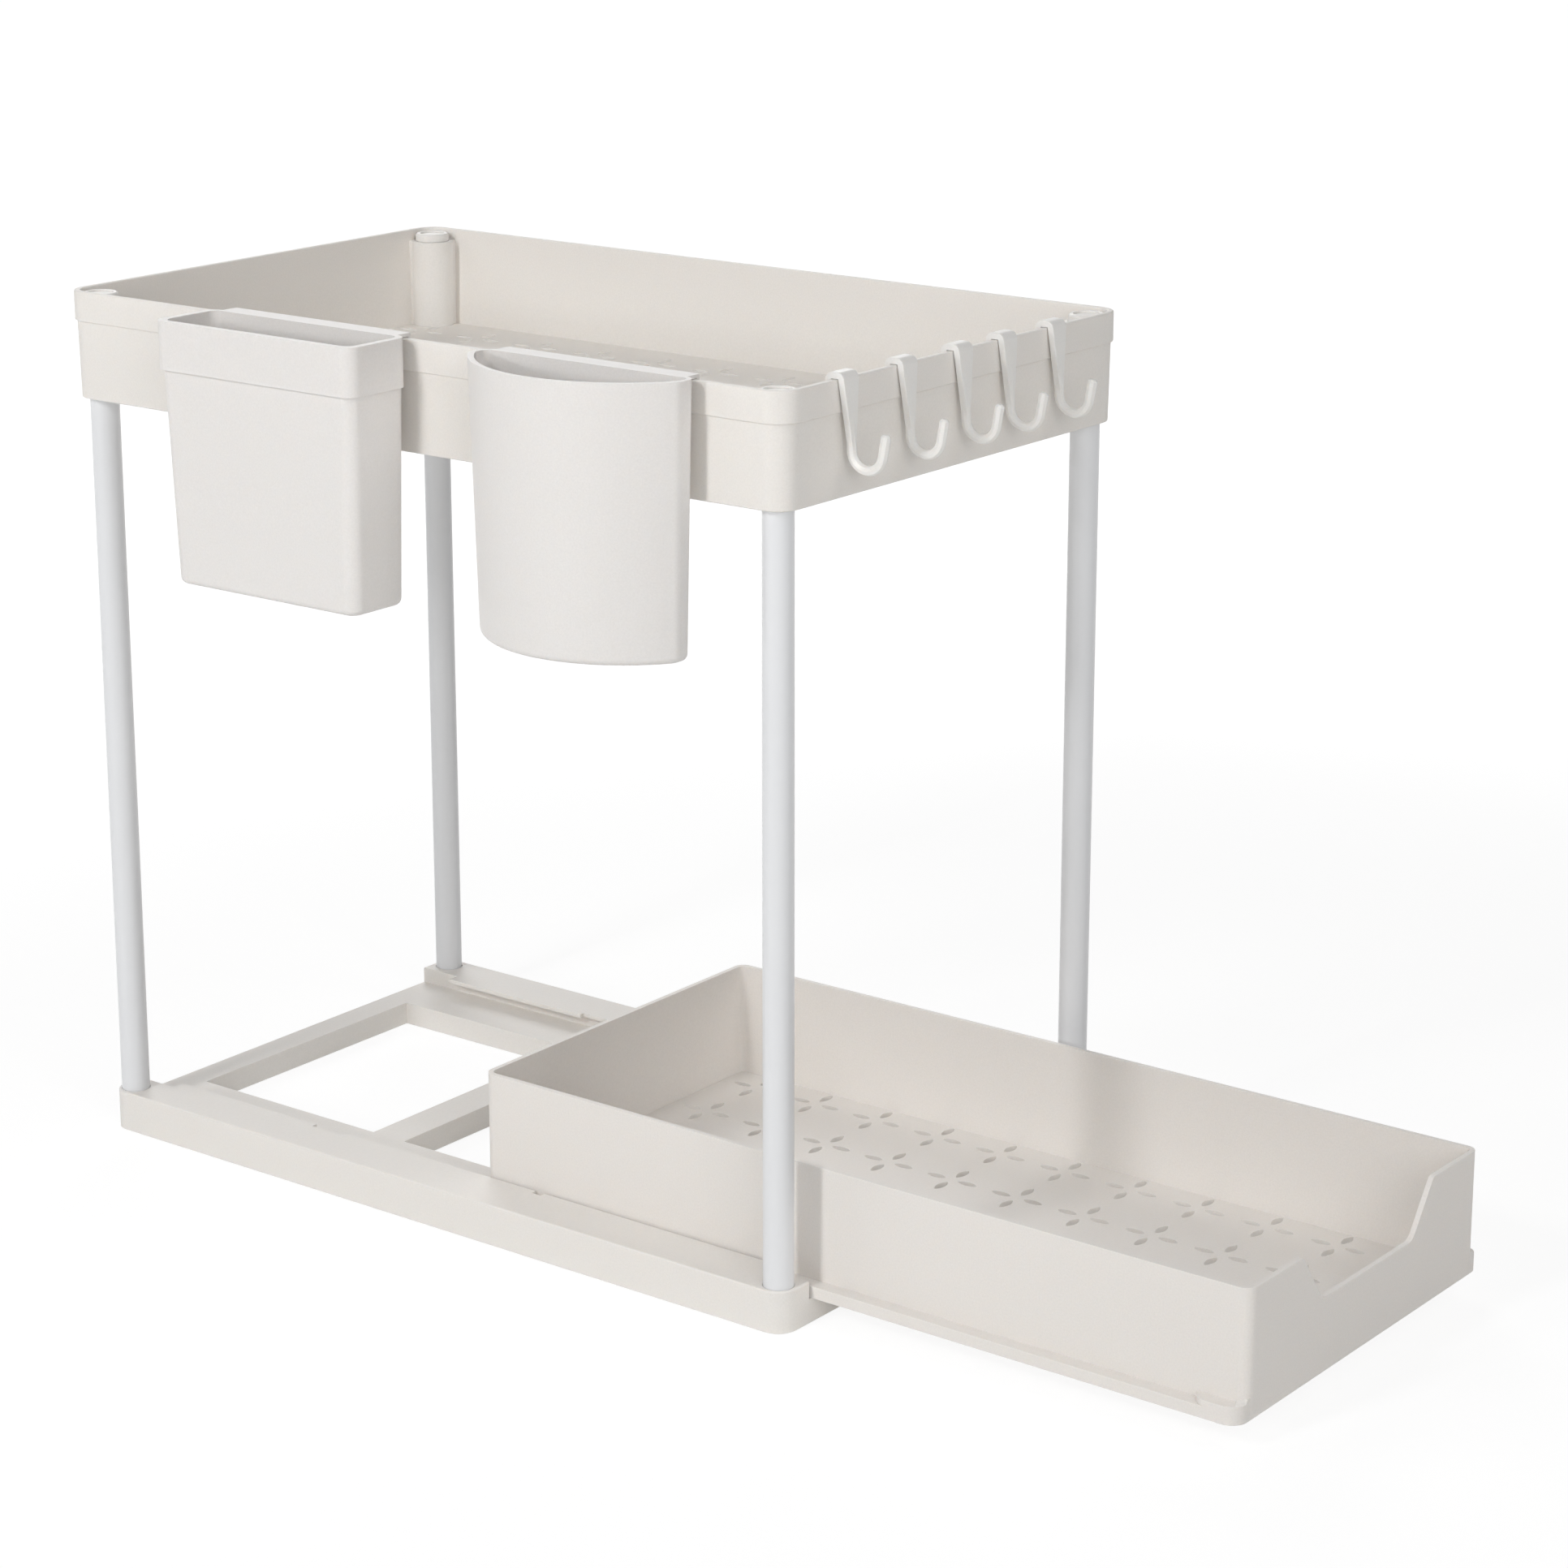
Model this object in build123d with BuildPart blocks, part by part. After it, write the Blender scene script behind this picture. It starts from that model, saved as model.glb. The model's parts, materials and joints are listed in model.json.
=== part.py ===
from build123d import *
import os
from math import cos, radians, sin, sqrt

# Two-tier under-sink organizer: a moulded base frame with rails, four steel posts, a top tray,
# a drawer on the rails, two hang-on cups and five hang-on hooks.
# Millimetres, +Z up. The origin is on the floor, under the middle of the base frame's front bar.
# The front is -Y, where the drawer comes out. Left is -X, where the cups hang.

# Whole organizer
total_height = 380.0          # floor to the top tray's rim
post_spacing_x = 210.0        # post centre to post centre, across
post_spacing_y = 364.0        # post centre to post centre, front to back
overrun = 5.0                 # how far a cut runs past the faces it goes through
slip = 0.15                   # gap round a tube or plug in its socket, on the radius
hang_gap = 0.3                # gap between a hung piece and the tray wall
seat_gap = 0.2                # gap between a hung piece and the rim it rests on

# Steel posts
post_radius = 6.25
post_wall = 0.8

# Drain flowers: four petal-shaped slots in an upright cross, in the drawer's and the tray's floor
petal_length = 8.6
petal_width = 3.4
petal_start = 3.7             # flower's centre to a petal's near end
drawer_flower_pitch_x = 36.5
drawer_flower_pitch_y = 33.4
drawer_flower_rows = 5
drawer_flower_columns = 11
tray_flower_pitch = 34.8
tray_flower_rows = 6
tray_flower_columns = 11

# Base frame
base_margin = 8.0             # post centre to the base's outer face
base_height = 18.0
base_corner_radius = 9.0
base_edge_chamfer = 0.6
deck_height = 10.5            # ledges and cross bars that the drawer slides over
ledge_width = 28.0            # channel wall to the edge of the windows
lip_thickness = 2.0
end_bar_width = 14.0
middle_bar_width = 18.5
middle_bar_place = 63.0       # from the middle of the base to a middle bar's centre line
stop_notch_length = 18.0      # recess in each lip
stop_notch_place = 76.0
small_notch_length = 5.0
small_notch_place = -44.0
notch_depth = 2.5
socket_floor = 4.0            # floor to the underside of the posts
underside_wall = 2.0          # walls and ribs of the hollow underside
underside_pockets = 6         # along each rail

# Drawer
drawer_post_gap = 10.25       # drawer wall to the posts
drawer_length = 375.0
drawer_height = 53.4
drawer_wall = 2.2
drawer_floor = 2.4
drawer_corner_radius = 5.0
drawer_bottom_radius = 1.6
slide_gap = 0.3               # drawer to the deck that it slides on
side_gap = 0.8                # runner to the channel's wall
lip_gap = 1.0                 # drawer wall to the lip's edge
runner_width = 6.0
runner_height = 5.0
bumper_length = 21.0          # high front end of each runner, the stop when closed
bumper_height = 9.2
bumper_setback = 0.5          # drawer front to the bumper
bumper_radius = 7.0
stop_gap = 0.3                # bumper to the lip's end when closed
notch_bottom_width = 70.0     # cut-out in the drawer front
notch_top_width = 101.0
notch_drop = 22.0
notch_bottom_radius = 6.0
notch_top_radius = 2.5

# Top tray
tray_margin = 11.0            # post centre to the rim's outer face
tray_height = 46.5
tray_wall = 1.8
tray_floor = 2.2
tray_draft = 0.6              # the wall leans in by this much at the floor
band_height = 13.0            # thicker band round the rim
band_step = 1.0
tray_corner_radius = 11.0
column_radius = 8.3           # corner columns that the posts go up into
column_web = 7.0              # column's centre to the side of the web that joins it to the wall
column_drop = 4.9             # rim to the top of a column
column_cap_seat = 4.0         # thickness over the top end of a post
boss_radius = 8.2             # ring round each post under the tray
boss_drop = 2.0

# Caps in the tray's corner columns
cap_radius = 7.75
cap_height = 3.6
cap_edge_chamfer = 0.8
cap_dish_radius = 5.6
cap_dish_depth = 0.8
cap_plug_radius = 4.2
cap_plug_length = 16.0

# Cups
cup_wall = 2.0
cup_height = 109.5
cup_stand_off = 3.0           # tray's rim to the cup's back
cup_clip_thickness = 1.5      # plate over the tray's rim
cup_clip_drop = 12.0          # how far the clip reaches down inside the tray
cup_bottom_radius = 3.0

box_cup_width = 109.0
box_cup_depth = 34.5
box_cup_place = 45.8          # middle of the cup along the tray
box_cup_corner_radius = 6.0
box_cup_band_height = 20.0
box_cup_band_step = 1.3
box_cup_side_draft = 2.95
box_cup_front_draft = 1.9

round_cup_width = 105.0
round_cup_depth = 38.0
round_cup_place = -102.0
round_cup_bow = 27.5          # how far the bowed front stands out from the cup's short sides
round_cup_corner_radius = 5.0
round_cup_shoulder_radius = 6.0
round_cup_side_draft = 2.9
round_cup_front_draft = 1.5

# Hooks
hook_strap_width = 9.5
hook_strap_thickness = 2.6
hook_clip_drop = 9.0          # how far the clip reaches down inside the tray
hook_shoulder_radius = 3.2
hook_leg_lean = 1.2           # the leg stands off the wall by this much more at the bend
hook_neck_radius = 1.1        # the rod's start, inside the strap
hook_rod_radius = 2.0
hook_rod_sides = 8
hook_tip_chamfer = 0.8
hook_bend_radius = 7.3        # centre line of the J
hook_reach_down = 34.3        # rim to the lowest point of the J's centre line
hook_tip_length = 8.9
hook_tip_lean = 10.0          # degrees that the tip leans outwards
hook_place_shares = (-0.673, -0.345, -0.022, 0.243, 0.546)   # of half the tray's width

# Sizes that follow. Places along Y are taken from the organizer's middle.
drawer_width = post_spacing_x - 2 * (post_radius + drawer_post_gap)
post_x = post_spacing_x / 2
post_y = post_spacing_y / 2
base_half_x = post_x + base_margin
base_half_y = post_y + base_margin
middle_y = base_half_y - end_bar_width / 2
middle = Plane((0, middle_y, 0))
drawer_half = drawer_width / 2
channel_half = drawer_half + runner_width + side_gap
lip_half = drawer_half + lip_gap
lip_end = base_half_y - bumper_setback - bumper_length - stop_gap
window_half = channel_half - ledge_width
drawer_travel = 197.7         # from closed to pulled out, as it stands here
drawer_front = -(base_half_y + drawer_travel)
drawer_rear = drawer_front + drawer_length
drawer_bottom = deck_height + slide_gap
drawer_top = drawer_bottom + drawer_height
tray_half_x = post_x + tray_margin
tray_half_y = post_y + tray_margin
tray_bottom = total_height - tray_height
tray_rim_wall = tray_wall + band_step
column_top = total_height - column_drop
post_top = column_top - column_cap_seat
post_places = {
    "front_left": (-post_x, -post_y),
    "front_right": (post_x, -post_y),
    "rear_left": (-post_x, post_y),
    "rear_right": (post_x, post_y),
}

os.makedirs("parts", exist_ok=True)


def save(piece, name):
    piece.part.label = name
    export_step(piece.part, f"parts/{name}.step")


def flowered_floor(place_y, width, length, radius, pitch_x, pitch_y, rows, columns):
    # A floor plate's outline with the flowers' slots in it.
    with BuildSketch() as slots:
        with GridLocations(pitch_x, pitch_y, rows, columns):
            with PolarLocations(petal_start + petal_length / 2, 4):
                Polygon((petal_length / 2, 0), (0, petal_width / 2),
                        (-petal_length / 2, 0), (0, -petal_width / 2))
    with BuildSketch() as floor_plate:
        with Locations((0, place_y)):
            RectangleRounded(width, length, radius)
            add(slots.sketch, mode=Mode.SUBTRACT)
    return floor_plate.sketch


# Base frame: two rails with overhanging lips, joined by four cross bars
with BuildPart() as base_frame:
    with BuildSketch(middle):
        RectangleRounded(2 * base_half_x, 2 * base_half_y, base_corner_radius)
    extrude(amount=base_height)
    chamfer(base_frame.faces().sort_by(Axis.Z)[-1].edges(), base_edge_chamfer)
    # the bay between the rails, down to the deck
    with BuildSketch(middle.offset(deck_height)):
        Rectangle(2 * channel_half, 2 * (base_half_y + overrun))
    extrude(amount=base_height, mode=Mode.SUBTRACT)
    # the lips that hold the drawer's runners down
    lip_width = channel_half - lip_half
    with BuildSketch(middle.offset(base_height - lip_thickness)):
        for side in (-1, 1):
            with Locations((side * (lip_half + lip_width), 0)):
                Rectangle(2 * lip_width, 2 * lip_end)
    extrude(amount=lip_thickness)
    # recesses in the lips' edges
    with BuildSketch(middle.offset(deck_height)):
        for side in (-1, 1):
            with Locations((side * lip_half, stop_notch_place)):
                Rectangle(2 * notch_depth, stop_notch_length)
            with Locations((side * lip_half, small_notch_place)):
                Rectangle(2 * notch_depth, small_notch_length)
    extrude(amount=base_height, mode=Mode.SUBTRACT)
    # three windows between the cross bars
    middle_window = 2 * middle_bar_place - middle_bar_width
    end_window_outer = base_half_y - end_bar_width
    end_window_inner = middle_bar_place + middle_bar_width / 2
    end_window = end_window_outer - end_window_inner
    with BuildSketch(middle.offset(-overrun)):
        Rectangle(2 * window_half, middle_window)
        with Locations((0, end_window_inner + end_window / 2), (0, -end_window_inner - end_window / 2)):
            Rectangle(2 * window_half, end_window)
    extrude(amount=base_height, mode=Mode.SUBTRACT)
    # the hollow underside of each rail, between its end blocks
    pocket_width = base_half_x - window_half - 2 * underside_wall
    pocket_span = 2 * (post_y - post_radius - slip - underside_wall)
    pocket_pitch = (pocket_span + underside_wall) / underside_pockets
    with BuildSketch(middle):
        with GridLocations(base_half_x + window_half, pocket_pitch, 2, underside_pockets):
            Rectangle(pocket_width, pocket_pitch - underside_wall)
    extrude(amount=deck_height - underside_wall, mode=Mode.SUBTRACT)
    # a socket for each post
    with BuildSketch(middle.offset(socket_floor)):
        with Locations(*post_places.values()):
            Circle(post_radius + slip)
    extrude(amount=base_height, mode=Mode.SUBTRACT)
save(base_frame, "base_frame")

# Posts: steel tubes that stand in the base's sockets and carry the tray's columns
for corner, place in post_places.items():
    with BuildPart() as post:
        with BuildSketch(middle.offset(socket_floor)):
            with Locations(place):
                Circle(post_radius)
                Circle(post_radius - post_wall, mode=Mode.SUBTRACT)
        extrude(amount=post_top - socket_floor)
    save(post, f"post_{corner}")

# Top tray: a thin wall with a thicker band at the rim, and a column over each post
with BuildPart() as top_tray:
    body_half_x = tray_half_x - band_step
    body_half_y = tray_half_y - band_step
    body_radius = tray_corner_radius - band_step
    band_bottom = total_height - band_height
    with BuildSketch(middle.offset(tray_bottom)):
        RectangleRounded(2 * (body_half_x - tray_draft), 2 * (body_half_y - tray_draft),
                         body_radius - tray_draft)
    with BuildSketch(middle.offset(band_bottom)):
        RectangleRounded(2 * body_half_x, 2 * body_half_y, body_radius)
    loft()
    with BuildSketch(middle.offset(band_bottom)):
        RectangleRounded(2 * tray_half_x, 2 * tray_half_y, tray_corner_radius)
    extrude(amount=band_height)
    # the hollow
    with BuildSketch(middle.offset(tray_bottom)):
        RectangleRounded(2 * (body_half_x - tray_draft - tray_wall),
                         2 * (body_half_y - tray_draft - tray_wall),
                         body_radius - tray_draft - tray_wall)
    with BuildSketch(middle.offset(total_height)):
        RectangleRounded(2 * (tray_half_x - tray_rim_wall), 2 * (tray_half_y - tray_rim_wall),
                         tray_corner_radius - tray_rim_wall)
    loft(mode=Mode.SUBTRACT)
    # the columns, webbed to both walls, with a ring under the floor
    web_reach = tray_margin - tray_wall
    with BuildSketch(middle.offset(tray_bottom)):
        with Locations((post_x, post_y)):
            Circle(column_radius)
            Rectangle(web_reach, column_web, align=(Align.MIN, Align.MAX))
            Rectangle(column_web, web_reach, align=(Align.MAX, Align.MIN))
        mirror(about=Plane.YZ)
        mirror(about=Plane.XZ)
    extrude(amount=column_top - tray_bottom)
    with BuildSketch(middle.offset(tray_bottom - boss_drop)):
        with Locations(*post_places.values()):
            Circle(boss_radius)
    extrude(amount=boss_drop + tray_floor)
    with BuildSketch(middle.offset(tray_bottom - boss_drop)):
        with Locations(*post_places.values()):
            Circle(post_radius + slip)
    extrude(amount=post_top - tray_bottom + boss_drop, mode=Mode.SUBTRACT)
    with BuildSketch(middle.offset(tray_bottom)):
        with Locations(*post_places.values()):
            Circle(cap_plug_radius + slip)
    extrude(amount=tray_height, mode=Mode.SUBTRACT)
    # the floor with its flowers, open at the posts
    floor_inset = tray_draft + tray_wall / 2
    tray_plate = flowered_floor(0, 2 * (body_half_x - floor_inset), 2 * (body_half_y - floor_inset),
                                body_radius - floor_inset, tray_flower_pitch, tray_flower_pitch,
                                tray_flower_rows, tray_flower_columns)
    with BuildSketch(middle.offset(tray_bottom)):
        add(tray_plate)
        with Locations(*post_places.values()):
            Circle(post_radius + slip, mode=Mode.SUBTRACT)
    extrude(amount=tray_floor)
save(top_tray, "top_tray")

# Caps: each plugs through the top of a column into the post
for corner, place in post_places.items():
    with BuildPart() as post_cap:
        with BuildSketch(middle.offset(column_top)):
            with Locations(place):
                Circle(cap_radius)
        extrude(amount=cap_height)
        chamfer(post_cap.faces().sort_by(Axis.Z)[-1].edges(), cap_edge_chamfer)
        with BuildSketch(middle.offset(column_top + cap_height - cap_dish_depth)):
            with Locations(place):
                Circle(cap_dish_radius)
        extrude(amount=cap_height, mode=Mode.SUBTRACT)
        with BuildSketch(middle.offset(column_top - cap_plug_length)):
            with Locations(place):
                Circle(cap_plug_radius)
        extrude(amount=cap_plug_length)
    save(post_cap, f"post_cap_{corner}")

# Drawer: an open box with a runner along each foot and a cut-out in the front
with BuildPart() as drawer:
    drawer_middle = (drawer_front + drawer_rear) / 2
    with BuildSketch(middle.offset(drawer_bottom)):
        with Locations((0, drawer_middle)):
            RectangleRounded(drawer_width, drawer_length, drawer_corner_radius)
    extrude(amount=drawer_height)
    fillet(drawer.faces().sort_by(Axis.Z)[0].edges(), drawer_bottom_radius)
    # the runners and their bumpers
    runner_front = drawer_front + bumper_setback
    runner_rear = drawer_rear - drawer_corner_radius
    with BuildSketch(middle.offset(drawer_bottom)):
        with Locations((0, (runner_front + bumper_radius + runner_rear) / 2)):
            Rectangle(drawer_width + 2 * runner_width, runner_rear - runner_front - bumper_radius)
    extrude(amount=runner_height)
    with BuildSketch(middle.offset(drawer_bottom)):
        with Locations((0, runner_front + bumper_length / 2)):
            RectangleRounded(drawer_width + 2 * runner_width, bumper_length, bumper_radius)
    extrude(amount=bumper_height)
    # the hollow
    with BuildSketch(middle.offset(drawer_bottom)):
        with Locations((0, drawer_middle)):
            RectangleRounded(drawer_width - 2 * drawer_wall, drawer_length - 2 * drawer_wall,
                             drawer_corner_radius - drawer_wall)
    extrude(amount=drawer_height, mode=Mode.SUBTRACT)
    # the cut-out in the front wall
    with BuildSketch(Plane.XZ.offset(-(middle_y + drawer_front + 2 * drawer_wall))) as cut_out:
        with BuildLine():
            notch_floor = drawer_top - notch_drop
            Polyline((-notch_bottom_width / 2, notch_floor),
                     (notch_bottom_width / 2, notch_floor),
                     (notch_top_width / 2, drawer_top),
                     (notch_top_width / 2, drawer_top + overrun),
                     (-notch_top_width / 2, drawer_top + overrun),
                     (-notch_top_width / 2, drawer_top), close=True)
        make_face()
        fillet(cut_out.vertices().group_by(Axis.Y)[0], notch_bottom_radius)
    extrude(amount=3 * drawer_wall, mode=Mode.SUBTRACT)
    top_corners = (drawer.edges().filter_by(Axis.Y).group_by(Axis.Z)[-1]
                   .sort_by(Axis.Y)[:2])
    fillet(top_corners, notch_top_radius)
    # the floor with its flowers
    with BuildSketch(middle.offset(drawer_bottom)):
        add(flowered_floor(drawer_middle, drawer_width - 2 * drawer_wall, drawer_length - 2 * drawer_wall,
                           drawer_corner_radius - drawer_wall, drawer_flower_pitch_x, drawer_flower_pitch_y,
                           drawer_flower_rows, drawer_flower_columns))
    extrude(amount=drawer_floor)
save(drawer, "drawer")


def clip_outline(width, place):
    # A cup's clip, seen along the cup: a plate over the tray's rim with a leg down inside the tray.
    inside = -(tray_half_x - tray_rim_wall) + hang_gap
    with BuildSketch(Plane.XZ.offset(-(middle_y + place + width / 2))) as outline:
        with BuildLine():
            Polyline((cup_back - cup_wall, cup_top),
                     (inside + cup_clip_thickness, cup_top),
                     (inside + cup_clip_thickness, cup_top - cup_clip_drop),
                     (inside, cup_top - cup_clip_drop),
                     (inside, cup_top - cup_clip_thickness),
                     (cup_back - cup_wall, cup_top - cup_clip_thickness), close=True)
        make_face()
    return outline.sketch


def box_outline(level, side_inset, front_inset, wall):
    # The rectangular cup's outline at one level, its back towards the tray.
    depth = box_cup_depth - front_inset
    with BuildSketch(middle.offset(level)) as outline:
        with Locations((cup_back - depth / 2, box_cup_place)):
            RectangleRounded(depth - 2 * wall, box_cup_width - 2 * side_inset - 2 * wall,
                             box_cup_corner_radius - wall)
    return outline.sketch


def bowed_outline(level, side_inset, front_inset, wall):
    # The half-round cup's outline at one level: flat back, short sides and one bowed front.
    half = round_cup_width / 2 - side_inset - wall
    back = cup_back - wall
    front = cup_back - round_cup_depth + front_inset + wall
    shoulder = front + round_cup_bow
    with BuildSketch(middle.offset(level)) as outline:
        with BuildLine():
            Polyline((shoulder, round_cup_place - half), (back, round_cup_place - half),
                     (back, round_cup_place + half), (shoulder, round_cup_place + half))
            ThreePointArc((shoulder, round_cup_place + half), (front, round_cup_place),
                          (shoulder, round_cup_place - half))
        make_face()
        fillet(outline.vertices().group_by(Axis.X)[-1], round_cup_corner_radius - wall)
        fillet(outline.vertices().group_by(Axis.X)[0],
               round_cup_shoulder_radius - wall)
    return outline.sketch


cup_back = -(tray_half_x + cup_stand_off)
cup_top = total_height + seat_gap + cup_clip_thickness
cup_bottom = cup_top - cup_height
cup_floor_top = cup_bottom + cup_wall

# Rectangular cup with a band at the rim
with BuildPart() as rectangular_cup:
    low_side = box_cup_band_step + box_cup_side_draft
    low_front = box_cup_band_step + box_cup_front_draft
    band_level = cup_top - box_cup_band_height
    loft([box_outline(cup_bottom, low_side, low_front, 0),
          box_outline(band_level, box_cup_band_step, box_cup_band_step, 0)])
    fillet(rectangular_cup.faces().sort_by(Axis.Z)[0].edges(), cup_bottom_radius)
    extrude(box_outline(band_level, 0, 0, 0), amount=box_cup_band_height)
    loft([box_outline(cup_floor_top, low_side, low_front, cup_wall),
          box_outline(cup_top, box_cup_band_step, box_cup_band_step, cup_wall)], mode=Mode.SUBTRACT)
    extrude(clip_outline(box_cup_width - 2 * box_cup_corner_radius, box_cup_place),
            amount=box_cup_width - 2 * box_cup_corner_radius)
save(rectangular_cup, "rectangular_cup")

# Half-round cup
with BuildPart() as half_round_cup:
    loft([bowed_outline(cup_bottom, round_cup_side_draft, round_cup_front_draft, 0),
          bowed_outline(cup_top, 0, 0, 0)], ruled=True)
    fillet(half_round_cup.faces().sort_by(Axis.Z)[0].edges(), cup_bottom_radius)
    loft([bowed_outline(cup_floor_top, round_cup_side_draft, round_cup_front_draft, cup_wall),
          bowed_outline(cup_top, 0, 0, cup_wall)], ruled=True, mode=Mode.SUBTRACT)
    extrude(clip_outline(round_cup_width - 2 * round_cup_corner_radius, round_cup_place),
            amount=round_cup_width - 2 * round_cup_corner_radius)
save(half_round_cup, "half_round_cup")

# Hooks: a strap clipped over the front rim, narrowing to a rod that turns out and up in a J
hook_top = total_height + seat_gap + hook_strap_thickness
hook_wall_side = middle_y - tray_half_y - hang_gap
hook_inside = middle_y - tray_half_y + tray_rim_wall + hang_gap
neck_line = hook_wall_side - hook_strap_thickness / 2
rod_line = hook_wall_side - hook_leg_lean - hook_rod_radius
bend_level = total_height - hook_reach_down + hook_bend_radius
for number, share in enumerate(hook_place_shares, start=1):
    hook_x = share * tray_half_x
    with BuildPart() as hook:
        with BuildSketch(Plane.YZ.offset(hook_x - hook_strap_width / 2)) as clip:
            with BuildLine():
                inner_face = hook_inside + hook_strap_thickness
                Polyline((rod_line - hook_strap_thickness / 2, bend_level),
                         (hook_wall_side - hook_strap_thickness, hook_top), (inner_face, hook_top),
                         (inner_face, total_height - hook_clip_drop),
                         (hook_inside, total_height - hook_clip_drop),
                         (hook_inside, total_height + seat_gap), (hook_wall_side, total_height + seat_gap),
                         (rod_line + hook_strap_thickness / 2, bend_level), close=True)
            make_face()
            fillet(clip.vertices().group_by(Axis.Y)[-1], hook_shoulder_radius)
        extrude(amount=hook_strap_width)
        # narrow the leg from the rim down to the rod
        with BuildSketch(Plane.XZ.offset(-hook_wall_side)):
            for side in (-1, 1):
                with BuildLine():
                    edge = hook_x + side * hook_strap_width / 2
                    neck_edge = hook_x + side * hook_neck_radius
                    beyond = edge + side * overrun
                    Polyline((edge, total_height), (neck_edge, bend_level),
                             (neck_edge, bend_level - overrun),
                             (beyond, bend_level - overrun), (beyond, total_height), close=True)
                make_face()
        extrude(amount=3 * hook_strap_thickness, both=True, mode=Mode.SUBTRACT)
        # the rod, which grows out of the leg, and its J
        with BuildSketch(Plane.XY.offset(total_height)):
            with Locations((hook_x, neck_line)):
                RegularPolygon(hook_neck_radius, hook_rod_sides)
        with BuildSketch(Plane.XY.offset(bend_level)) as rod_end:
            with Locations((hook_x, rod_line)):
                RegularPolygon(hook_rod_radius, hook_rod_sides)
        loft()
        with BuildLine(Plane.YZ.offset(hook_x)) as rod:
            bend = CenterArc((rod_line - hook_bend_radius, bend_level), hook_bend_radius,
                             0, hook_tip_lean - 180)
            tip = PolarLine(bend @ 1, hook_tip_length, direction=bend % 1)
        sweep(rod_end.sketch, path=rod.line)
        chamfer(hook.faces().sort_by_distance(tip @ 1)[0].edges(), hook_tip_chamfer)
    save(hook, f"hook_{number}")
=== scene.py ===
import json
from math import cos, pi, radians, sin

import bmesh
import bpy
from mathutils import Matrix, Vector


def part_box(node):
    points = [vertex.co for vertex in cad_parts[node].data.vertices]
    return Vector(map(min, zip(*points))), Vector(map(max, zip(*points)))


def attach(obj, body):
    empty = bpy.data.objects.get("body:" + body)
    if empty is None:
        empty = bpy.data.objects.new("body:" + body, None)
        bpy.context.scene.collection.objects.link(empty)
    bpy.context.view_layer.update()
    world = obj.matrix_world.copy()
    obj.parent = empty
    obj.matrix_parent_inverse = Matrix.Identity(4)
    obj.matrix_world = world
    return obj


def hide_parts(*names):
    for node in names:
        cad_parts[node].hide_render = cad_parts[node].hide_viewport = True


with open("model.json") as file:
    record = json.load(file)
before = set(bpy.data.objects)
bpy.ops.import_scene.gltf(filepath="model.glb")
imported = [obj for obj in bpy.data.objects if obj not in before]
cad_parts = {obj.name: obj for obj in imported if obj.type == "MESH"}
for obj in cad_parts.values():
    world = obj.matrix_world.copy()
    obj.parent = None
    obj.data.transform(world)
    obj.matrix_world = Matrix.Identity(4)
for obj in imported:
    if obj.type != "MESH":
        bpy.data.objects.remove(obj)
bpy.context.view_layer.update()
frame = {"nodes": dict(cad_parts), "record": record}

nodes = frame["nodes"]
mm = 0.001

# Places taken from the frame, in metres
base_low, base_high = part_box("base_frame")
tray_low, tray_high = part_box("top_tray")
drawer_low, drawer_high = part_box("drawer")
post_low, post_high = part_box("post_front_right")
middle = (base_low + base_high) / 2
post_centre = (post_low + post_high) / 2
post_across = post_centre.x - middle.x
post_along = middle.y - post_centre.y

# Sizes of the mouldings
tray_boss_drop = 2.0 * mm     # rings under the tray, left off here
tray_floor = 2.2 * mm
drawer_floor = 2.4 * mm
runner = 6.0 * mm             # each runner stands out from the drawer's wall by this
bumper_height = 9.2 * mm
bumper_ease = 1.7 * mm        # the bumper's crown is lower than its block by this
deck_height = 10.5 * mm       # top of the base's cross bars
post_zone = 10.0 * mm         # faces this near to a post's centre belong to its column
column_top = 375.1 * mm
sleeve_inside = 8.0 * mm
sleeve_foot = 9.1 * mm
sleeve_shoulder = 9.6 * mm
sleeve_round = 0.5 * mm
sleeve_lift = 0.05 * mm       # keeps the sleeve's top clear of the column's

# Flowers of four leaf-shaped slots in both floors
petal_length = 9.4 * mm
petal_width = 3.9 * mm
petal_out = 8.0 * mm          # flower's centre to a petal's middle
petal_points = 12
petal_taper = 0.35            # a petal narrows towards its ends by this share
tray_petal_spread = 1.35      # the tray's petals are this much wider below
drawer_flowers = (5, 36.5 * mm, 11, 33.4 * mm)
tray_flowers = (6, 34.8 * mm, 11, 34.8 * mm)

# How a CAD node's mesh is read
merge_distance = 0.002 * mm
level_play = 0.01 * mm
flat_angle = radians(0.5)
rounded_angle = radians(28)
sharp_angle = radians(48)


# Finishes

class Value:
    """One output in a finish, so that its maths reads as plain sums."""

    def __init__(self, finish, socket):
        self.finish = finish
        self.socket = socket

    def maths(self, operation, first, second):
        return self.finish.node("ShaderNodeMath", {"operation": operation}, {0: first, 1: second})

    def __add__(self, other):
        return self.maths("ADD", self, other)

    __radd__ = __add__

    def __sub__(self, other):
        return self.maths("SUBTRACT", self, other)

    def __rsub__(self, other):
        return self.maths("SUBTRACT", other, self)

    def __mul__(self, other):
        return self.maths("MULTIPLY", self, other)

    __rmul__ = __mul__


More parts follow.
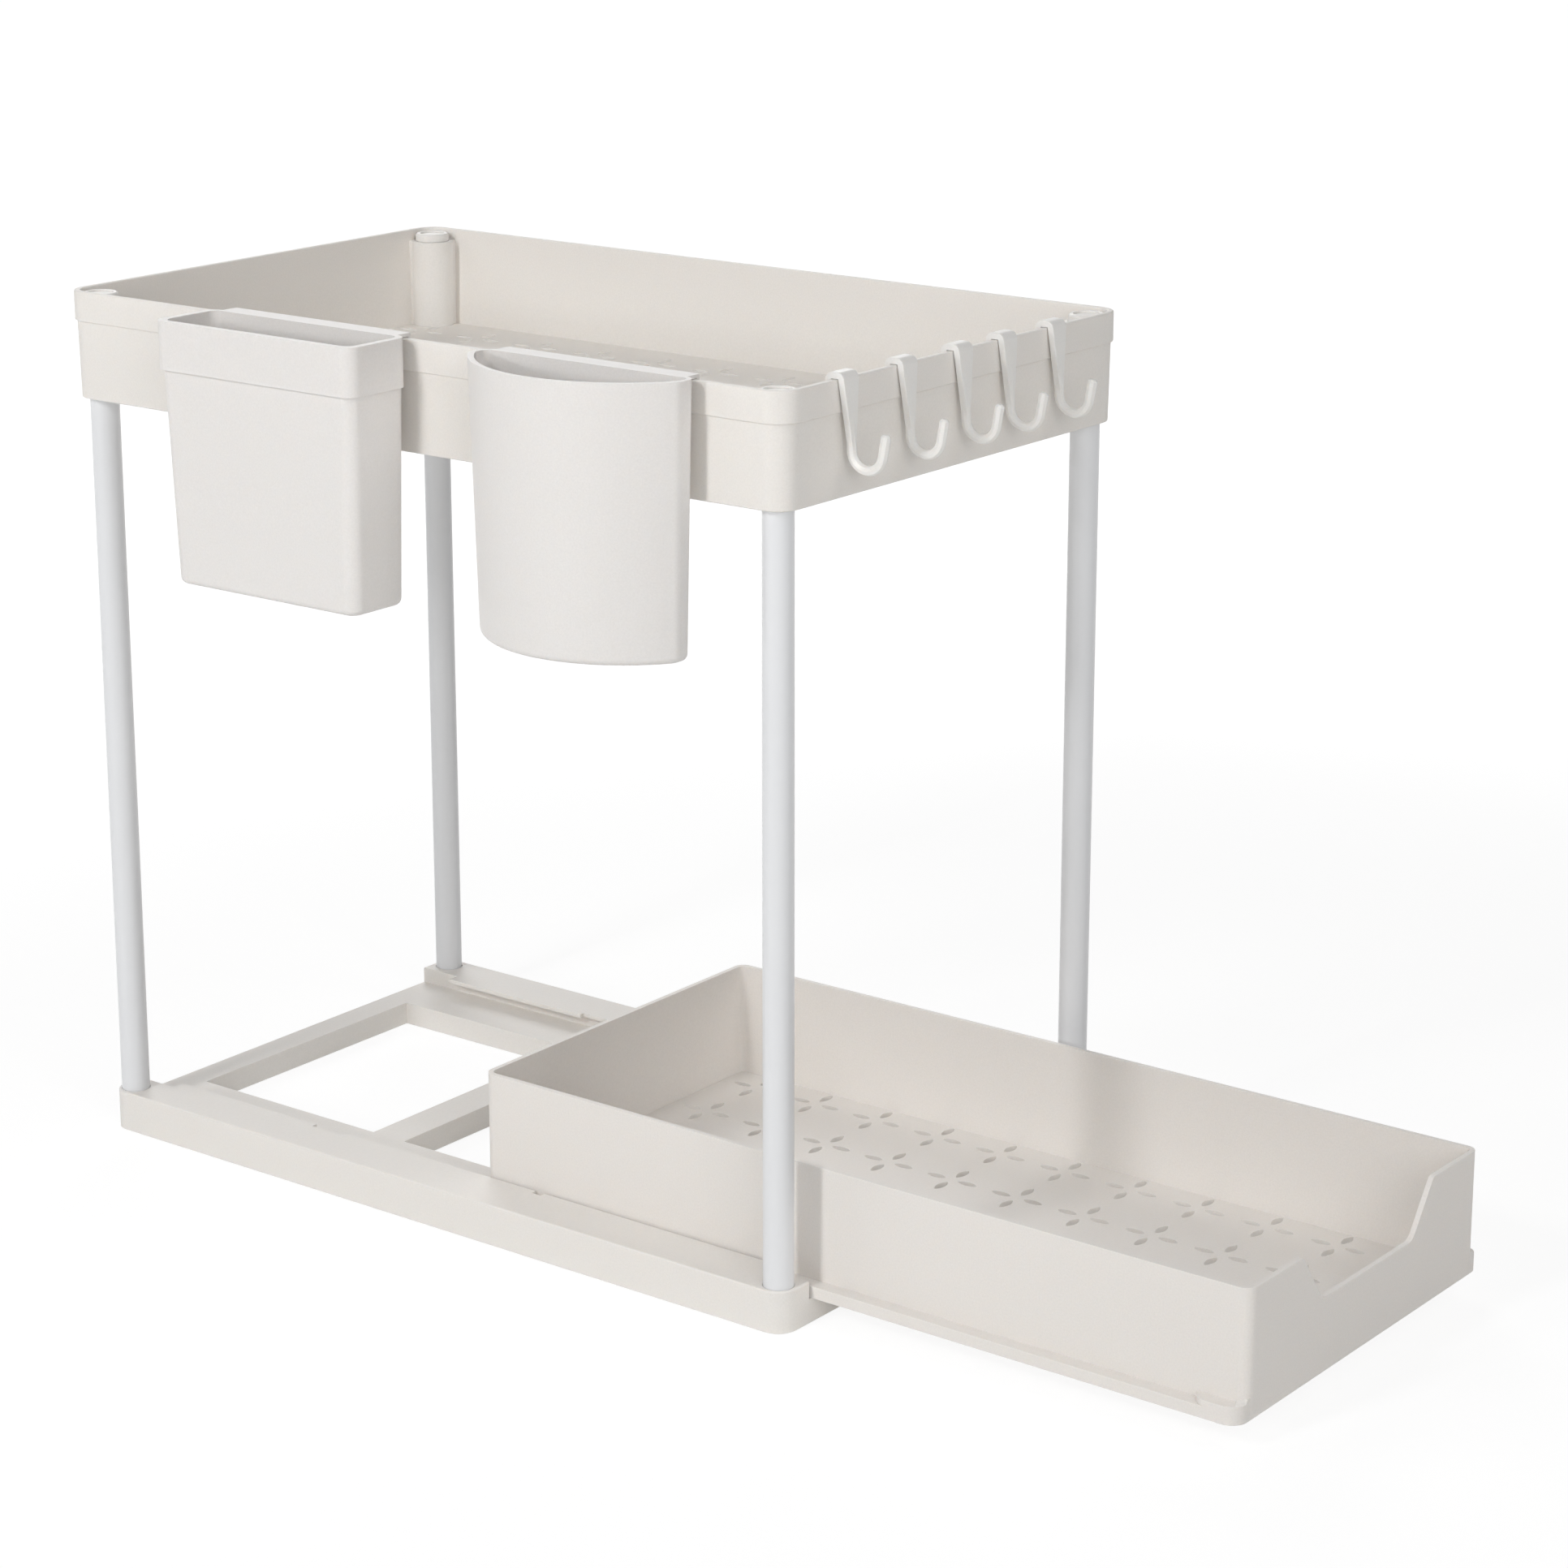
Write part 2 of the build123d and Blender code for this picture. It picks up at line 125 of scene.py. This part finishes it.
class Finish:
    """A material, or the world's backdrop, under construction."""

    def __init__(self, holder):
        self.holder = holder
        holder.use_nodes = True
        self.tree = holder.node_tree
        self.tree.nodes.clear()

    def node(self, kind, settings=(), inputs=(), output=0):
        made = self.tree.nodes.new(kind)
        for setting, value in dict(settings).items():
            setattr(made, setting, value)
        for name, value in dict(inputs).items():
            if isinstance(value, Value):
                self.tree.links.new(value.socket, made.inputs[name])
            else:
                made.inputs[name].default_value = value
        return Value(self, made.outputs[output])

    def noise(self, place, scale, detail=2.0, roughness=0.5):
        return self.node("ShaderNodeTexNoise", {}, {"Vector": place, "Scale": scale, "Detail": detail,
                                                    "Roughness": roughness})

    def blend(self, factor, first, second):
        colours = {0: factor, 6: (*first, 1), 7: (*second, 1)}
        return self.node("ShaderNodeMix", {"data_type": "RGBA"}, colours, 2)

    def greatest(self, first, second):
        return self.node("ShaderNodeMath", {"operation": "MAXIMUM"}, {0: first, 1: second})

    def seen(self):
        """1 where the camera looks, straight, in a reflection or through something clear."""
        camera, glossy, clear = (self.node("ShaderNodeLightPath", output=ray)
                                 for ray in ("Is Camera Ray", "Is Glossy Ray", "Is Transmission Ray"))
        return self.greatest(self.greatest(camera, glossy), clear)

    def finished(self, shader, output="ShaderNodeOutputMaterial"):
        end = self.tree.nodes.new(output)
        self.tree.links.new(shader.socket, end.inputs["Surface"])
        return self.holder


def grey(level):
    return (level, level, level, 1)


def shade(colour, factor):
    return tuple(channel * factor for channel in colour)


def moulded_plastic(name, colour, roughness, grain=0.03):
    """Matte moulded plastic: a fine spark-eroded grain over a faint cloudiness."""
    cloud_tone, speckle_tone = 0.5, 1.6
    cloud_gloss, speckle_gloss = 0.08, 0.25
    finish = Finish(bpy.data.materials.new(name))
    place = finish.node("ShaderNodeTexCoord", output="Object")
    cloud = finish.noise(place, scale=9.0, detail=3.0)
    speckle = finish.noise(place, scale=1300.0, detail=1.0)
    pits = finish.noise(place, scale=2600.0, detail=2.0, roughness=0.6)
    tone = 0.5 + (cloud - 0.5) * cloud_tone + (speckle - 0.5) * speckle_tone
    normal = finish.node("ShaderNodeBump", {}, {"Strength": 0.16, "Distance": 0.1 * mm,
                                                "Height": pits + speckle})
    return finish.finished(finish.node("ShaderNodeBsdfPrincipled", {}, {
        "Base Color": finish.blend(tone, shade(colour, 1 - grain), shade(colour, 1 + grain)),
        "Roughness": roughness + (speckle - 0.5) * speckle_gloss + (cloud - 0.5) * cloud_gloss,
        "Normal": normal,
        "Specular IOR Level": 0.4,
        "Subsurface Weight": 0.25,
        "Subsurface Radius": (1.0, 0.85, 0.7),
        "Subsurface Scale": 2.5 * mm,
    }))


def coated_steel(name, colour, roughness):
    """Powder-coated steel tube: a smooth coat with a little orange peel."""
    cloudiness = 0.015
    peel_gloss = 0.18
    finish = Finish(bpy.data.materials.new(name))
    place = finish.node("ShaderNodeTexCoord", output="Object")
    cloud = finish.noise(place, scale=22.0, detail=2.0)
    peel = finish.noise(place, scale=700.0, detail=2.0)
    normal = finish.node("ShaderNodeBump", {}, {"Strength": 0.12, "Distance": 0.1 * mm, "Height": peel})
    return finish.finished(finish.node("ShaderNodeBsdfPrincipled", {}, {
        "Base Color": finish.blend(cloud, shade(colour, 1 - cloudiness), shade(colour, 1 + cloudiness)),
        "Roughness": roughness + (peel - 0.5) * peel_gloss,
        "Normal": normal,
        "Coat Weight": 0.25,
        "Coat Roughness": 0.25,
    }))


finishes = {
    "frame_plastic": moulded_plastic("frame_plastic", (0.830, 0.800, 0.763), roughness=0.52),
    "drawer_plastic": moulded_plastic("drawer_plastic", (0.812, 0.780, 0.746), roughness=0.52),
    "cup_plastic": moulded_plastic("cup_plastic", (0.795, 0.772, 0.752), roughness=0.50),
    "hook_plastic": moulded_plastic("hook_plastic", (0.860, 0.845, 0.820), roughness=0.38, grain=0.02),
    "cap_plastic": moulded_plastic("cap_plastic", (0.830, 0.806, 0.777), roughness=0.42),
    "post_steel": coated_steel("post_steel", (0.785, 0.793, 0.81), roughness=0.34),
}


# The moulded pieces, with their edges rounded

def inside(point, low, high):
    return all(low[axis] < point[axis] < high[axis] for axis in range(3))


def middle_of(edge):
    return (edge.verts[0].co + edge.verts[1].co) / 2


def at_level(item, *levels):
    """Whether every corner of an edge or a face lies at one of the levels."""
    return all(any(abs(vert.co.z - level) < level_play for level in levels) for vert in item.verts)


def near_post(point):
    return (abs(abs(point.x) - post_across) < post_zone
            and abs(abs(point.y - middle.y) - post_along) < post_zone)


def cut_petal(shape, place, depth, spread):
    """A leaf-shaped slot through a plate, drawn at its upper face."""
    rim = bmesh.ops.create_circle(shape, segments=petal_points, radius=1)["verts"]
    for vert in rim:
        narrowing = 1 - petal_taper * vert.co.x ** 2
        vert.co = place @ Vector((vert.co.x * petal_length / 2,
                                  vert.co.y * narrowing * petal_width / 2, 0))
    edges = list(dict.fromkeys(edge for vert in rim for edge in vert.link_edges))
    wall = bmesh.ops.extrude_edge_only(shape, edges=edges)["geom"]
    lower = [item for item in wall if isinstance(item, bmesh.types.BMVert)]
    bmesh.ops.translate(shape, verts=lower, vec=(0, 0, -depth))
    bmesh.ops.scale(shape, verts=lower, vec=(spread, spread, 1), space=place.inverted())


def cut_flowers(shape, bottom, top, centre_y, flowers, spread=1.0):
    """Makes a floor plate anew, with flowers of four slots, wider below by the spread."""
    old_floor = [face for face in shape.faces
                 if at_level(face, bottom) or at_level(face, top)
                 or (at_level(face, bottom, top) and not near_post(face.calc_center_median()))]
    bmesh.ops.delete(shape, geom=old_floor, context="FACES")
    across, pitch_x, along, pitch_y = flowers
    for column in range(across):
        for row in range(along):
            centre = Matrix.Translation(((column - (across - 1) / 2) * pitch_x,
                                         centre_y + (row - (along - 1) / 2) * pitch_y, top))
            for quarter in range(4):
                turn = Matrix.Rotation(quarter * pi / 2, 4, "Z")
                place = centre @ turn @ Matrix.Translation((petal_out, 0, 0))
                cut_petal(shape, place, top - bottom, spread)
    for level, way in ((bottom, -1), (top, 1)):
        loops = [edge for edge in shape.edges if at_level(edge, level) and len(edge.link_faces) == 1]
        bmesh.ops.triangle_fill(shape, use_beauty=True, use_dissolve=False, edges=loops, normal=(0, 0, way))
    bmesh.ops.recalc_face_normals(shape, faces=shape.faces[:])


def finished_piece(name, shape, body, slot, replaced=()):
    """A mesh piece with smooth faces, its finish, and its place among the bodies."""
    shape.normal_update()
    for face in shape.faces:
        face.smooth = True
    for edge in shape.edges:
        edge.smooth = len(edge.link_faces) == 2 and edge.calc_face_angle() < sharp_angle
    mesh = bpy.data.meshes.new(name)
    shape.to_mesh(mesh)
    shape.free()
    mesh.materials.append(finishes[slot])
    piece = bpy.data.objects.new(name, mesh)
    bpy.context.collection.objects.link(piece)
    weights = piece.modifiers.new("flat_faces", "WEIGHTED_NORMAL")
    weights.keep_sharp = True
    if replaced:
        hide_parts(*replaced)
    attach(piece, body)
    return piece


def copied(node):
    """The node's own shape, merged."""
    shape = bmesh.new()
    shape.from_mesh(nodes[node].data)
    bmesh.ops.remove_doubles(shape, verts=shape.verts[:], dist=merge_distance)
    return shape


def softened(node, body, slot, width, segments=2, shape=None, kept_sharp=((0, 0, 0), (0, 0, 0))):
    """A moulding whose outer edges are rounded, apart from those inside the box that is kept sharp."""
    shape = shape or copied(node)
    pairs = [edge for edge in shape.edges if len(edge.link_faces) == 2]
    flat = [edge for edge in pairs
            if edge.calc_face_angle() < flat_angle and not inside(middle_of(edge), *kept_sharp)]
    bmesh.ops.dissolve_limit(shape, angle_limit=flat_angle, verts=[], edges=flat)
    outer = [edge for edge in shape.edges
             if len(edge.link_faces) == 2 and edge.is_convex and edge.calc_face_angle() > rounded_angle
             and not inside(middle_of(edge), *kept_sharp)]
    bmesh.ops.bevel(shape, geom=outer, offset=width, offset_type="OFFSET", segments=segments, profile=0.5,
                    affect="EDGES", clamp_overlap=True, material=-1)
    return finished_piece(f"{node}_moulding", shape, body, slot, [node])


def base_moulding():
    band = 1.0 * mm
    softened("base_frame", "frame", "frame_plastic", width=0.5 * mm,
             kept_sharp=((base_low.x + band, base_low.y + band, -band),
                         (base_high.x - band, base_high.y - band, deck_height - band)))


def tray_moulding():
    shape = copied("top_tray")
    bottom = tray_low.z + tray_boss_drop
    for vert in shape.verts:
        vert.co.z = max(vert.co.z, bottom)
    bmesh.ops.remove_doubles(shape, verts=shape.verts[:], dist=merge_distance)
    bmesh.ops.dissolve_degenerate(shape, dist=merge_distance, edges=shape.edges[:])
    top = bottom + tray_floor
    cut_flowers(shape, bottom, top, middle.y, tray_flowers, tray_petal_spread)
    band = 3.5 * mm
    softened("top_tray", "frame", "frame_plastic", width=0.7 * mm, segments=3, shape=shape,
             kept_sharp=((tray_low.x + band, tray_low.y + band, bottom - band),
                         (tray_high.x - band, tray_high.y - band, top + band)))


def drawer_moulding():
    shape = copied("drawer")
    wall_side = drawer_high.x - runner
    crown = drawer_low.z + bumper_height
    for vert in shape.verts:
        if abs(vert.co.z - crown) < level_play and abs(vert.co.x) > wall_side - level_play:
            vert.co.z -= bumper_ease
    bottom = drawer_low.z
    top = bottom + drawer_floor
    cut_flowers(shape, bottom, top, (drawer_low.y + drawer_high.y) / 2, drawer_flowers)
    band = 1.0 * mm
    softened("drawer", "drawer", "drawer_plastic", width=0.6 * mm, segments=3, shape=shape,
             kept_sharp=((band - wall_side, drawer_low.y + band, bottom - band),
                         (wall_side - band, drawer_high.y - band, top + band)))


def column_sleeve(name, centre):
    """The round outside of a corner column, over its webs."""
    foot = tray_low.z + tray_boss_drop + tray_floor / 2
    head = column_top + sleeve_lift
    outline = [(sleeve_inside, foot), (sleeve_foot, foot), (sleeve_shoulder, column_top - sleeve_round),
               (sleeve_foot, head), (sleeve_inside, head)]
    shape = bmesh.new()
    points = [shape.verts.new(centre + Vector((radius, 0, level))) for radius, level in outline]
    followers = points[1:] + points[:1]
    edges = [shape.edges.new(pair) for pair in zip(points, followers)]
    bmesh.ops.spin(shape, geom=points + edges, cent=centre, axis=(0, 0, 1), angle=2 * pi, steps=48,
                   use_merge=True)
    bmesh.ops.recalc_face_normals(shape, faces=shape.faces[:])
    finished_piece(name, shape, "frame", "frame_plastic")


base_moulding()
tray_moulding()
for side, side_name in ((-1, "left"), (1, "right")):
    for end, end_name in ((-1, "front"), (1, "rear")):
        column_sleeve(f"tray_column_{end_name}_{side_name}",
                      Vector((side * post_across, middle.y + end * post_along, 0)))
drawer_moulding()
for cup in ("rectangular_cup", "half_round_cup"):
    softened(cup, cup, "cup_plastic", width=0.7 * mm, segments=3)
for corner in ("front_left", "front_right", "rear_left", "rear_right"):
    softened(f"post_cap_{corner}", "frame", "cap_plastic", width=0.3 * mm)
for number in range(1, 6):
    softened(f"hook_{number}", f"hook_{number}", "hook_plastic", width=0.6 * mm)

for part in frame["record"]["subparts"]:
    for material_slot in nodes[part["node"]].material_slots:
        material_slot.material = finishes[part["material_slot"]]


# Floor, backdrop, lights and camera

def floor_finish():
    """Pale floor: white to the camera and in reflections, apart from the object's soft shadow."""
    shadow_tone = 0.20
    near_white, far_white = 0.86, 1.0
    shadow_reach, white_reach = 0.5, 1.4
    finish = Finish(bpy.data.materials.new("studio_floor"))
    bounce = finish.node("ShaderNodeBsdfDiffuse", {}, {"Color": (0.80, 0.80, 0.79, 1)})
    glow = finish.node("ShaderNodeEmission", {}, {"Color": grey(1), "Strength": 0.14})
    lit = finish.node("ShaderNodeAddShader", {}, {0: bounce, 1: glow})
    shadow = finish.node("ShaderNodeBsdfDiffuse", {}, {"Color": grey(shadow_tone)})
    place = finish.node("ShaderNodeTexCoord", output="Object")
    away = finish.node("ShaderNodeVectorMath", {"operation": "LENGTH"}, {0: place}, 1)
    rising = finish.node("ShaderNodeMapRange", {"interpolation_type": "SMOOTHSTEP"},
                         {"Value": away, "From Min": shadow_reach, "From Max": white_reach,
                          "To Min": near_white, "To Max": far_white})
    white = finish.node("ShaderNodeEmission", {}, {"Color": grey(1), "Strength": rising})
    shown = finish.node("ShaderNodeAddShader", {}, {0: shadow, 1: white})
    return finish.finished(finish.node("ShaderNodeMixShader", {}, {0: finish.seen(), 1: lit, 2: shown}))


def studio_floor(reach, level):
    shape = bmesh.new()
    bmesh.ops.create_grid(shape, x_segments=1, y_segments=1, size=reach)
    bmesh.ops.translate(shape, verts=shape.verts[:], vec=(0, 0, level))
    mesh = bpy.data.meshes.new("studio_floor")
    shape.to_mesh(mesh)
    shape.free()
    mesh.materials.append(floor_finish())
    floor = bpy.data.objects.new("studio_floor", mesh)
    bpy.context.collection.objects.link(floor)


def softbox(name, turn, height, size, level):
    """A square lamp that looks at the organizer. Turn is 0 at the left side and 90 at the front, both
    angles in degrees. Level 1 lights a facing surface to its written colour."""
    distance = 2.4
    aim = Vector((middle.x, middle.y, 0.2))
    lamp = bpy.data.lights.new(name, "AREA")
    lamp.shape = "SQUARE"
    lamp.size = size
    lamp.energy = level * pi * pi * distance * distance
    turn, height = radians(turn), radians(height)
    direction = Vector((-cos(turn) * cos(height), -sin(turn) * cos(height), sin(height)))
    stand = bpy.data.objects.new(name, lamp)
    stand.location = aim + direction * distance
    stand.rotation_euler = direction.to_track_quat("Z", "Y").to_euler()
    bpy.context.collection.objects.link(stand)


def backdrop(ambient_level):
    """White to the camera, and a little light from all round for everything else."""
    sky = Finish(bpy.data.worlds.new("studio"))
    ambient = sky.node("ShaderNodeBackground", {}, {"Color": grey(1), "Strength": ambient_level})
    shown = sky.node("ShaderNodeBackground", {}, {"Color": grey(1), "Strength": 1.0})
    mixed = sky.node("ShaderNodeMixShader", {}, {0: sky.seen(), 1: ambient, 2: shown})
    bpy.context.scene.world = sky.finished(mixed, "ShaderNodeOutputWorld")


def photo_camera():
    """The camera that the photograph's edges give."""
    camera = bpy.data.cameras.new("camera")
    camera.sensor_width = 36.0
    camera.lens = 91.961
    camera.shift_y = -0.05
    camera.clip_start = 0.1
    camera.clip_end = 60.0
    looks_along = Vector((0.76671, 0.58514, -0.26414))
    view = bpy.data.objects.new("camera", camera)
    view.location = (-1.27413, -0.89397, 0.65938)
    view.rotation_euler = looks_along.to_track_quat("-Z", "Y").to_euler()
    bpy.context.collection.objects.link(view)
    bpy.context.scene.camera = view


studio_floor(reach=12.0, level=-0.4 * mm)
softbox("key_left", turn=-4, height=34, size=0.35, level=0.24)
softbox("low_left", turn=-4, height=14, size=0.25, level=0.16)
softbox("near_camera", turn=57, height=20, size=1.2, level=0.27)
softbox("above_front", turn=90, height=55, size=1.5, level=0.17)
softbox("behind_left", turn=-50, height=30, size=1.2, level=0.14)
softbox("behind_right", turn=-135, height=35, size=1.2, level=0.29)
backdrop(ambient_level=0.05)
photo_camera()
bpy.context.scene.view_settings.view_transform = "Standard"
